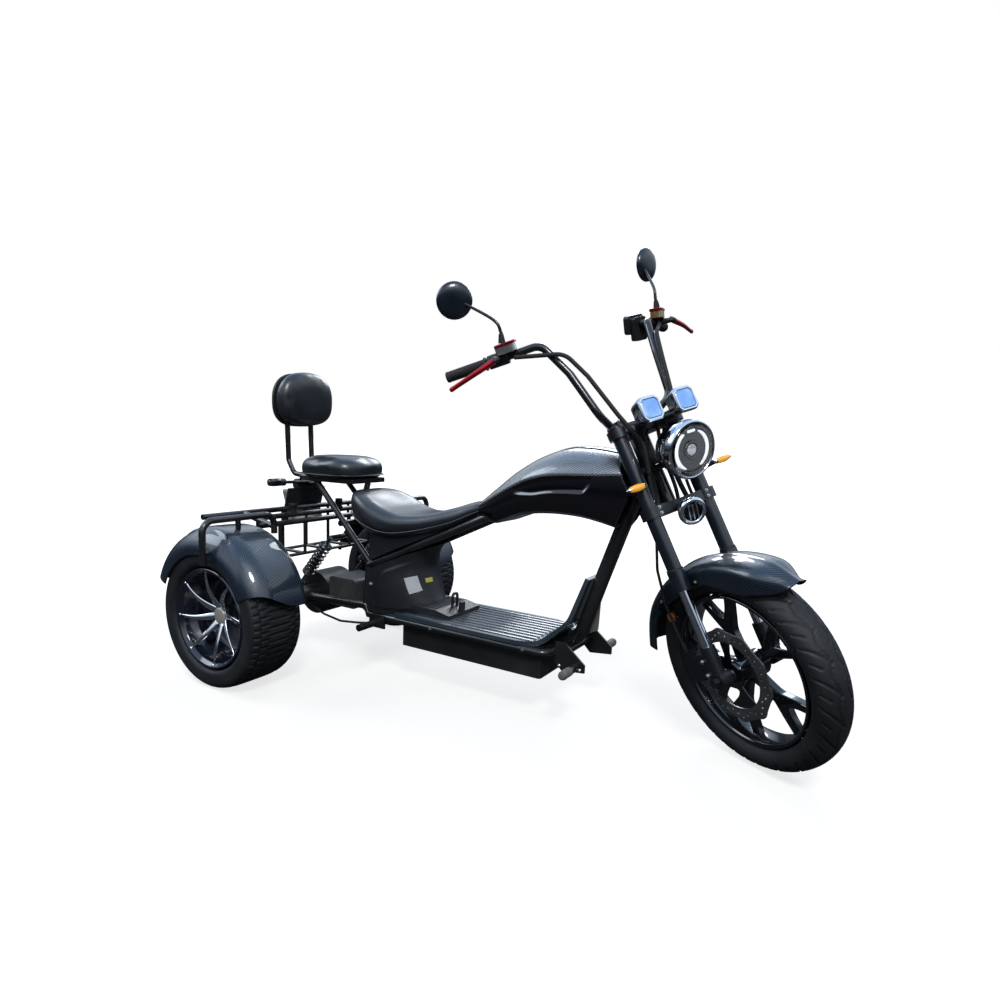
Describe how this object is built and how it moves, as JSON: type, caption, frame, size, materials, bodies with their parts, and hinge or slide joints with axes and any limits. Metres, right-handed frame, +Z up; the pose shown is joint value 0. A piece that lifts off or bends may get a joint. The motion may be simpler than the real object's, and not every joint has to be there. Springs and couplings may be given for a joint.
{
  "type": "three-wheeled electric scooter",
  "caption": "Chopper-style electric trike with raked fork, high handlebar, dished saddle, pillion seat with backrest, low floor and wide covered rear wheels.",
  "frame": {"origin": "ground level under the middle of the vehicle's length and width", "axes": "+X forward, +Y to the rider's left, +Z up"},
  "size_m": [2.1218, 1.194, 1.4714],
  "materials": {
    "frame_black": "gloss black enamel",
    "carbon_plastic": "glossy woven carbon-look film, dark blue-black",
    "tank_silver": "glossy silver woven carbon-look film",
    "gloss_black": "gloss black plastic",
    "satin_black": "satin black plastic",
    "box_black": "satin black sheet",
    "leatherette": "smooth black seat cover",
    "tyre": "matt black tread",
    "rim_black": "gloss black alloy",
    "chrome": "bright chrome",
    "steel": "bare steel",
    "lamp_lens": "clear lamp lens",
    "amber": "amber lens",
    "red_anodised": "red anodised aluminium",
    "grip_rubber": "matt black rubber",
    "cable_black": "black cable sleeve",
    "motor_grey": "dull cast aluminium"
  },
  "bodies": {
    "chassis": {"main_frame": "frame_black", "front_pegs": "frame_black", "battery_box": "box_black", "floorboard": "gloss_black", "battery_hatch": "satin_black", "body_cover": "satin_black", "saddle": "leatherette", "seat_pan": "satin_black", "tank_shell": "tank_silver", "tank_lower": "gloss_black", "pillion_frame": "frame_black", "pillion_pad": "leatherette", "backrest_shell": "satin_black", "backrest_pad": "leatherette", "rear_axle": "box_black", "drive_motor": "motor_grey", "rear_shocks": "steel", "rear_fenders": "carbon_plastic", "rear_rack": "frame_black", "tail_lamps": "satin_black", "rear_pegs": "frame_black", "brake_cable": "cable_black"},
    "steering": {"fork_clamps": "frame_black", "handlebar": "frame_black", "fork_uppers": "satin_black", "fork_sliders": "chrome", "fork_feet": "frame_black", "front_fender": "carbon_plastic", "headlamp_shell": "chrome", "headlamp_lens": "lamp_lens", "horn": "chrome", "turn_signals": "amber", "gauge_pods": "chrome", "grips": "grip_rubber", "bar_controls": "satin_black", "brake_levers": "red_anodised", "phone_holder": "satin_black", "mirrors": "satin_black", "front_caliper": "box_black", "brake_hose": "cable_black", "control_cables": "cable_black"},
    "front_wheel": {"front_tyre": "tyre", "front_rim": "rim_black", "front_disc": "steel"},
    "rear_wheel_left": {"rear_tyre_left": "tyre", "rear_rim_left": "rim_black"},
    "rear_wheel_right": {"rear_tyre_right": "tyre", "rear_rim_right": "rim_black"}
  },
  "joints": [
    {"name": "steering", "type": "hinge", "parent": "chassis", "child": "steering", "pos_m": [0.77028, 0, 0.26099], "axis": [-0.4602, 0, 0.8878], "range_deg": [-5.1, 74.9]},
    {"name": "front_wheel_spin", "type": "hinge", "parent": "steering", "child": "front_wheel", "pos_m": [0.80668, -0.02861, 0.27986], "axis": [0.508, 0.8202, 0.2633], "continuous": true},
    {"name": "rear_left_spin", "type": "hinge", "parent": "chassis", "child": "rear_wheel_left", "pos_m": [-0.76433, 0.453, 0.2385], "axis": [0, 1, 0], "continuous": true},
    {"name": "rear_right_spin", "type": "hinge", "parent": "chassis", "child": "rear_wheel_right", "pos_m": [-0.76433, -0.453, 0.2385], "axis": [0, 1, 0], "continuous": true}
  ]
}
